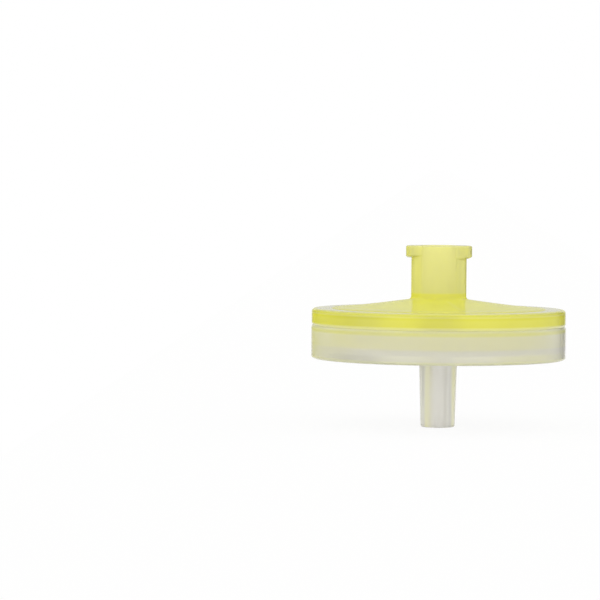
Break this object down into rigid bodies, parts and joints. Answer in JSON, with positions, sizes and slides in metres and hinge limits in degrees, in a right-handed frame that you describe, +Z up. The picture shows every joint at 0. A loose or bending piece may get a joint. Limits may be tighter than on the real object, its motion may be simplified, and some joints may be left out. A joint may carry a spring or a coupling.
{
  "type": "syringe filter",
  "caption": "Disc-shaped syringe filter with a female luer-lock inlet on top, a male luer outlet below and a membrane clamped between two welded halves.",
  "frame": {"origin": "centre of the outlet tip's end face, the lowest point", "axes": "+Z up along the flow axis, from the outlet tip to the inlet mouth; the two luer-lock lugs lie along +X and -X"},
  "size_m": [0.0296, 0.0296, 0.0211],
  "materials": {
    "yellow_polypropylene": "translucent yellow, smooth as moulded",
    "filter_membrane": "matt white microporous film",
    "natural_polypropylene": "translucent, uncoloured, smooth as moulded"
  },
  "bodies": {
    "root": {"upper_housing": "yellow_polypropylene", "membrane": "filter_membrane", "lower_housing": "natural_polypropylene"}
  },
  "joints": []
}
